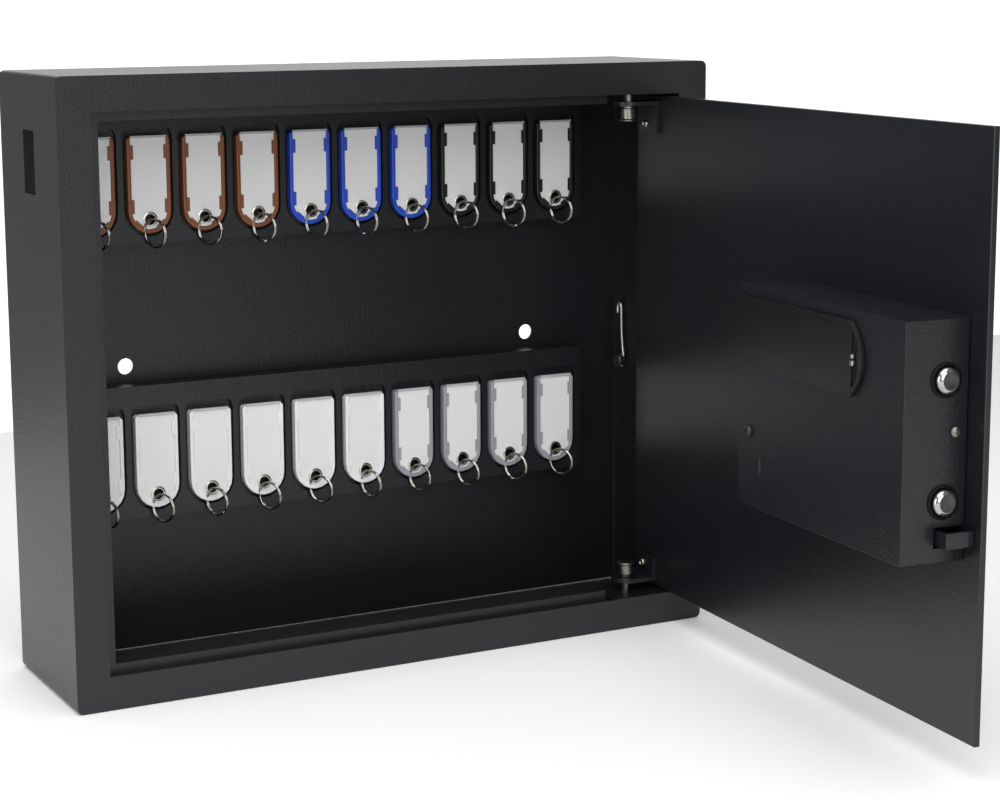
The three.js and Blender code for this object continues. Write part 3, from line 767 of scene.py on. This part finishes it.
# ---------------------------------------------------------------- lock
class KEYCAB_OT_lock_case(bpy.types.Operator):
    """Finish the lock case and its tab, and add its bushes, coloured near-black as painted shadow of the gap
    round each bolt, and its screws
    """

    bl_idname = "keycab.lock_case"
    bl_label = "Lock case"

    def execute(self, context):
        r = context.scene.key_cabinet_lock.bush_mm / 2
        proud = 0.95
        bury = 1.6
        dress("lock_case", "coat case", 0.9, 3)
        dress("case_tab", "coat case", 0.25)
        case = door_box("lock_case")[0]
        for end in ("upper", "lower"):
            low, high = door_box("bolt_" + end)
            bore = (high.z - low.z) / 2 + 0.18
            profile = [(bore, bury), (bore, -0.5), (bore + 0.35, -proud), (r - 0.5, -proud), (r, -0.5),
                       (r, -0.06), (bore + 0.2, -0.06), (bore + 0.2, bury)]
            place = at(case.x, (low.y + high.y) / 2, (low.z + high.z) / 2) @ ALONG_X
            # The bush's near-black is painted shadow of the gap round the bolt.
            piece("bolt_bush_" + end, turned(profile, 40, True), ON_DOOR @ place, ["bush"], "door")
        self.screw("case_screw_front", "black_plastic", "housing", Matrix.Rotation(math.pi, 4, "X"), "y")
        self.screw("case_screw_side", "zinc", "dull zinc", ALONG_X, "x")
        return {"FINISHED"}

    def screw(self, node, slot, key, turn, axis):
        """A pan head with a sunk middle."""
        low, high = door_box(node)
        r = (high.z - low.z) / 2
        head = turned([(0, -1.2), (0.9, -1.2), (0.95, -1.75), (r * 0.66, -1.55), (r * 0.92, -1.0),
                       (r, -0.3), (r, 0), (0, 0)], 28)
        middle = (low + high) / 2
        base = at(middle.x, low.y, middle.z) if axis == "y" else at(high.x, middle.y, middle.z)
        piece(node + "_head", head, ON_DOOR @ base @ turn, [key], "door", (node,))


class KEYCAB_OT_bolts(bpy.types.Operator):
    """Turn the two bolts, and finish the slide and the solenoid"""

    bl_idname = "keycab.bolts"
    bl_label = "Bolts and solenoid"

    def execute(self, context):
        for end in ("upper", "lower"):
            low, high = door_box("bolt_" + end)
            r = (high.z - low.z) / 2
            length = high.x - low.x
            face = [(0, 0.25), (r - 2.9, 0.14), (r - 2.0, 0.0)]
            side = [(r - 2.0, 0.0), (r - 1.75, 0.12), (r - 0.9, 0.65), (r - 0.3, 1.35), (r, 2.2), (r, length),
                    (0, length)]
            place = at(low.x, (low.y + high.y) / 2, (low.z + high.z) / 2) @ ALONG_X
            turned_bolt = joined((turned(face, 56), Matrix(), 1), (turned(side, 56), Matrix(), 0))
            bmesh.ops.remove_doubles(turned_bolt, verts=turned_bolt.verts, dist=WELD_MM)
            bmesh.ops.recalc_face_normals(turned_bolt, faces=turned_bolt.faces)
            # The end face takes the chrome with painted shade, darker than the sides and chamfer.
            piece("bolt_turned_" + end, turned_bolt, ON_DOOR @ place, ["chrome", "bolt face shade"], "bolts",
                  ("bolt_" + end,), 50)
        dress("bolt_carriage", "slide", 0.2)
        dress("solenoid_body", "copper", 0.3)
        dress("solenoid_plunger", "zinc", 0.25)
        return {"FINISHED"}


class KEYCAB_OT_battery(bpy.types.Operator):
    """Finish the battery cover and fit its tray with four cells"""

    bl_idname = "keycab.battery"
    bl_label = "Battery bay"

    def execute(self, context):
        dress("battery_cover", "cover", 0.3, 3)
        low, high = door_box("battery_cover")
        middle = (low.z + high.z) / 2
        root = high.y - 1.2
        lower = block((low.x + 6.4, root, middle - 2.6), (low.x + 8.9, high.y + 0.5, middle - 0.2), 0.5)
        upper = block((low.x + 6.8, root, middle + 0.5), (low.x + 8.7, high.y + 0.3, middle + 2.6), 0.5)
        catch = joined((lower, Matrix(), 0), (upper, Matrix(), 0))
        piece("battery_cover_catch", catch, ON_DOOR, ["zinc"], "battery_cover")
        self.cells()
        return {"FINISHED"}

    def cells(self):
        """A tray with a floor and two walls, and two rows of two cells that point opposite ways."""
        wall = 0.5
        r = 7.0
        length = 50.0
        low, high = door_box("battery_pack")
        parts = [(block((low.x, low.y, low.z), (high.x, low.y + 3.0, high.z), 0.4), Matrix(), 0)]
        for z0, z1 in ((low.z, low.z + wall), (high.z - wall, high.z)):
            parts.append((block((low.x, low.y + 2.0, z0), (high.x, high.y - 6, z1), 0.1, 1), Matrix(), 0))
        sleeve = [(r - 0.4, 1.0), (r, 1.4), (r, length - 3.0), (r - 0.4, length - 2.6)]
        ends = [(0, 0.2), (r - 1.2, 0.2), (r - 0.4, 1.0)]
        nose = [(r - 0.4, length - 2.6), (r - 1.4, length - 1.6), (2.7, length - 1.4), (2.6, length - 0.1),
                (0, length)]
        for row in (0, 1):
            z = low.z + 0.6 + r + row * (2 * r + 0.15)
            for column in (0, 1):
                x = low.x + 0.6 + column * (length + 0.3)
                flip = (row + column) % 2
                turn = Matrix.Rotation(-TURN / 4 if flip == 0 else TURN / 4, 4, "Z")
                place = at(x if flip == 0 else x + length, high.y - r - 0.3, z) @ turn
                parts.append((turned(sleeve, 28), place, 1))
                parts.append((turned(ends, 28), place.copy(), 2))
                parts.append((turned(nose, 28), place.copy(), 2))
        whole = joined(*parts)
        bmesh.ops.remove_doubles(whole, verts=whole.verts, dist=WELD_MM)
        piece("battery_cells", whole, ON_DOOR, ["tray", "sleeve", "zinc"], "door",
              ("battery_pack",))


class KEYCAB_OT_keypad(bpy.types.Operator):
    """Finish the keypad and print its figures"""

    bl_idname = "keycab.keypad"
    bl_label = "Keypad"

    FIGURES = "123*456#7890"
    FONT_PER_FIGURE = 1.35  # size of the font over the height of its figures
    LAMP_OUT = 6            # from the housing's middle to a lamp
    LAMP_DOWN = 4.6         # from the housing's top to a lamp

    def execute(self, context):
        dress("keypad_housing", "housing", 0.9, 3)
        for i, figure in enumerate(self.FIGURES):
            key = f"key_button_{i + 1:02d}"
            dress(key, "key", 0.5, 3)
            self.figure(context, key, f"key_{i + 1:02d}", figure)
        low, high = door_box("keypad_housing")
        for name, side, key in (("ready", -1, "green lens"), ("warning", 1, "red lens")):
            bead = turned([(0, -0.7), (1.0, -0.55), (1.45, -0.1), (1.5, 0.4), (0, 0.4)], 24)
            place = at((low.x + high.x) / 2 + side * self.LAMP_OUT, low.y, high.z - self.LAMP_DOWN)
            piece("lamp_" + name, bead, ON_DOOR @ place, [key], "door")
        return {"FINISHED"}

    def figure(self, context, node, body, text):
        """A flat figure on a key's face."""
        low, high = door_box(node)
        curve = bpy.data.curves.new("figure", "FONT")
        curve.body = text
        curve.size = context.scene.key_cabinet_lock.figure_mm * self.FONT_PER_FIGURE
        curve.align_x = "CENTER"
        curve.align_y = "CENTER"
        curve.extrude = 0.05
        curve.resolution_u = 3
        source = bpy.data.objects.new("figure", curve)
        mesh = bpy.data.meshes.new_from_object(source)
        bm = bmesh.new()
        bm.from_mesh(mesh)
        bpy.data.meshes.remove(mesh)
        bpy.data.objects.remove(source)
        bpy.data.curves.remove(curve)
        bmesh.ops.remove_doubles(bm, verts=bm.verts, dist=1e-3)
        spots = [v.co for v in bm.verts]
        centre = Vector(((min(p.x for p in spots) + max(p.x for p in spots)) / 2,
                         (min(p.y for p in spots) + max(p.y for p in spots)) / 2, 0))
        bmesh.ops.translate(bm, verts=bm.verts, vec=-centre)
        middle = at((low.x + high.x) / 2, low.y - 0.03, (low.z + high.z) / 2)
        place = middle @ Matrix.Rotation(TURN / 4, 4, "X")
        piece("key_figure_" + node[-2:], bm, ON_DOOR @ place, ["ink"], body)


class KEYCAB_OT_knob(bpy.types.Operator):
    """Make the turn knob, its spindle and its crank"""

    bl_idname = "keycab.knob"
    bl_label = "Turn knob"

    def execute(self, context):
        low, high = door_box("turn_knob")
        joint = JOINTS["knob_turn"]
        middle = SHUT @ Vector(joint["pos_m"])
        face = door_box("keypad_housing")[0].y - GAP_MM
        front = low.y
        place = at(middle.x, 0, middle.z)
        rim = self.fluted_rim(front + 1.2)
        skirt = turned([(0, front + 9.3), (13.6, front + 9.3), (14.4, front + 10.2), (14.9, face - 0.6),
                        (14.5, face), (0, face)], 56)
        bar = block((-3.1, front, -15.2), (3.1, front + 2.2, 15.2), 0.9, 3)
        line = block((-0.45, front - 0.12, 6.0), (0.45, front + 0.6, 13.4), 0.1, 1)
        grip = joined((rim, Matrix(), 0), (skirt, Matrix(), 0), (bar, Matrix(), 0), (line, Matrix(), 1))
        piece("knob_grip", grip, ON_DOOR @ place, ["housing", "label"], "knob",
              ("turn_knob",))
        self.crank(place, face, high)
        return {"FINISHED"}

    def fluted_rim(self, front):
        """The grip's outer ring, with ribs for the fingers."""
        mean_r = 16.55
        rib = 0.42
        ribs = 24
        depth = 8.2
        rim = bmesh.new()
        bmesh.ops.create_circle(rim, cap_ends=True, segments=6 * ribs, radius=1.0)
        for v in rim.verts:
            a = math.atan2(v.co.y, v.co.x)
            r = mean_r + rib * math.cos(ribs * a)
            v.co = Vector((r * math.cos(a), front, r * math.sin(a)))
        grown = bmesh.ops.extrude_face_region(rim, geom=rim.faces[:], use_keep_orig=True)["geom"]
        bmesh.ops.translate(rim, verts=verts_of(grown), vec=(0, depth, 0))
        bmesh.ops.recalc_face_normals(rim, faces=rim.faces)
        ease(rim, 0.9, 3, 60)
        return rim

    def crank(self, place, face, high):
        """The spindle behind the grip, with its disc and pin."""
        door = door_box("door_plate")[1].y
        pin = CRANK_MM * math.sqrt(0.5)
        shaft_r = 4
        disc_r = 13.4
        stud_r = 2
        soften = 0.3
        front = face - 1
        spindle = turned([(0, front), (shaft_r, front), (shaft_r, door + 0.5), (disc_r - soften, door + 0.5),
                          (disc_r, door + 0.8), (disc_r, door + 2.0), (disc_r - soften, door + 2.3),
                          (0, door + 2.3)], 40)
        stud = turned([(0, door + 1), (stud_r, door + 1), (stud_r, high.y - soften),
                       (stud_r - soften, high.y), (0, high.y)], 20)
        crank = joined((spindle, Matrix(), 0), (stud, at(pin, 0, pin), 0))
        piece("knob_crank", crank, ON_DOOR @ place, ["slide"], "knob")


class KEYCAB_OT_override(bpy.types.Operator):
    """Finish the emergency lock and its cap"""

    bl_idname = "keycab.override"
    bl_label = "Emergency lock"

    def execute(self, context):
        dress("override_barrel", "zinc", 0.3)
        dress("override_cap", "housing", 0.8, 3)
        return {"FINISHED"}


# ---------------------------------------------------------------- stage
CAMERA_PLACE = (-0.4806, -1.0792, 0.1902)
CAMERA_TURNS = (27.814, -9.756, -0.307)   # yaw, pitch and roll in degrees
CAMERA_SHIFT = (0.019, -0.0307)
FLOOR_MIDDLE = (0.1, -0.7)
FLOOR_GAP = 0.0002

# Each light's name, the setting with its power, its place, the point it faces, and its side in metres.
LIGHTS = (
    ("Top light", "top_light", (-0.25, -0.55, 1.25), (0.05, -0.1, 0), 1.3),
    ("Side light", "side_light", (-1.5, -0.35, 0.25), (-0.1, -0.05, 0), 1.2),
    ("Front light", "front_light", (-0.55, -1.9, 0.7), (0.0, 0.0, 0), 1.4),
)

# The light from behind grows from FADE_START to FADE_END of the Y part of a direction, or of FADE_ACROSS
# times its X part where that is less.
FADE_START = 0.1
FADE_END = 0.55
FADE_ACROSS = 3.0


class KEYCAB_OT_stage(bpy.types.Operator):
    """Lay the floor and place the camera and the lights"""

    bl_idname = "keycab.stage"
    bl_label = "Stage"

    def execute(self, context):
        look = context.scene.key_cabinet_stage
        self.floor(context, look)
        self.camera(context, look)
        for name, setting, place, target, size in LIGHTS:
            self.light(context, name, getattr(look, setting), place, target, size)
        self.surround(context, look)
        context.scene.view_settings.view_transform = "Standard"
        return {"FINISHED"}

    def surround(self, context, look):
        """Even light all round, and a stronger light from behind, on the right."""
        world = bpy.data.worlds.new("Surround")
        world.use_nodes = True
        tree = world.node_tree
        sky = tree.nodes["Background"]
        sky.inputs["Color"].default_value = (1, 1, 1, 1)
        way = tree.nodes.new("ShaderNodeTexCoord")
        parts = tree.nodes.new("ShaderNodeSeparateXYZ")
        fade = tree.nodes.new("ShaderNodeMapRange")
        fade.inputs["From Min"].default_value = FADE_START
        fade.inputs["From Max"].default_value = FADE_END
        fade.inputs["To Min"].default_value = look.sky
        fade.inputs["To Max"].default_value = look.backdrop
        tree.links.new(way.outputs["Generated"], parts.inputs["Vector"])
        wide = tree.nodes.new("ShaderNodeMath")
        wide.operation = "MULTIPLY"
        wide.inputs[1].default_value = FADE_ACROSS
        least = tree.nodes.new("ShaderNodeMath")
        least.operation = "MINIMUM"
        tree.links.new(parts.outputs["X"], wide.inputs[0])
        tree.links.new(wide.outputs["Value"], least.inputs[0])
        tree.links.new(parts.outputs["Y"], least.inputs[1])
        tree.links.new(least.outputs["Value"], fade.inputs["Value"])
        tree.links.new(fade.outputs["Result"], sky.inputs["Strength"])
        context.scene.world = world

    def floor(self, context, look):
        """A square of floor, just clear of the cabinet's lower face."""
        bm = bmesh.new()
        bmesh.ops.create_grid(bm, x_segments=2, y_segments=2, size=look.floor_m / 2)
        bmesh.ops.translate(bm, verts=bm.verts, vec=(*FLOOR_MIDDLE, CAD_BOX[0][2] - FLOOR_GAP))
        mesh = bpy.data.meshes.new("floor")
        bm.to_mesh(mesh)
        bm.free()
        mesh.materials.append(finish("floor"))
        floor = bpy.data.objects.new("floor", mesh)
        context.scene.collection.objects.link(floor)

    def camera(self, context, look):
        """The camera in front and to the left, turned towards the cabinet and tipped down."""
        data = bpy.data.cameras.new("Camera")
        data.lens = look.lens_mm
        data.sensor_width = 36.0
        data.shift_x, data.shift_y = CAMERA_SHIFT
        camera = bpy.data.objects.new("Camera", data)
        yaw, pitch, roll = (math.radians(angle) for angle in CAMERA_TURNS)
        camera.matrix_world = (
            at(*CAMERA_PLACE) @ Matrix.Rotation(-yaw, 4, "Z")
            @ Matrix.Rotation(TURN / 4 + pitch, 4, "X") @ Matrix.Rotation(roll, 4, "Z"))
        context.scene.collection.objects.link(camera)
        context.scene.camera = camera

    def light(self, context, name, power, place, target, size):
        """A square soft light that faces a point."""
        data = bpy.data.lights.new(name, "AREA")
        data.energy = power
        data.shape = "SQUARE"
        data.size = size
        lamp = bpy.data.objects.new(name, data)
        lamp.location = place
        lamp.rotation_euler = (Vector(target) - Vector(place)).to_track_quat("-Z", "Y").to_euler()
        context.scene.collection.objects.link(lamp)


STEPS = (
    KEYCAB_OT_steelwork, KEYCAB_OT_hinges, KEYCAB_OT_tags, KEYCAB_OT_labels, KEYCAB_OT_rings,
    KEYCAB_OT_lock_case, KEYCAB_OT_bolts, KEYCAB_OT_battery, KEYCAB_OT_keypad, KEYCAB_OT_knob,
    KEYCAB_OT_override, KEYCAB_OT_stage,
)
SETTINGS = {
    "key_cabinet_steel": SteelSettings,
    "key_cabinet_tags": TagSettings,
    "key_cabinet_lock": LockSettings,
    "key_cabinet_stage": StageSettings,
}


class KEYCAB_PT_panel(bpy.types.Panel):
    """Lists the settings and the steps"""

    bl_idname = "KEYCAB_PT_panel"
    bl_label = "Key cabinet"
    bl_space_type = "VIEW_3D"
    bl_region_type = "UI"
    bl_category = "Key cabinet"

    def draw(self, context):
        for name, group in SETTINGS.items():
            box = self.layout.box()
            box.label(text=group.__doc__)
            for key in group.__annotations__:
                box.prop(getattr(context.scene, name), key)
        for step in STEPS:
            self.layout.operator(step.bl_idname)


def register():
    for group in SETTINGS.values():
        bpy.utils.register_class(group)
    for name, group in SETTINGS.items():
        setattr(bpy.types.Scene, name, PointerProperty(type=group))
    for step in STEPS:
        bpy.utils.register_class(step)
    bpy.utils.register_class(KEYCAB_PT_panel)


def unregister():
    bpy.utils.unregister_class(KEYCAB_PT_panel)
    for step in reversed(STEPS):
        bpy.utils.unregister_class(step)
    for name, group in reversed(SETTINGS.items()):
        delattr(bpy.types.Scene, name)
        bpy.utils.unregister_class(group)


def main():
    register()
    for step in STEPS:
        space, name = step.bl_idname.split(".")
        getattr(getattr(bpy.ops, space), name)()


if __name__ == "__main__":
    main()
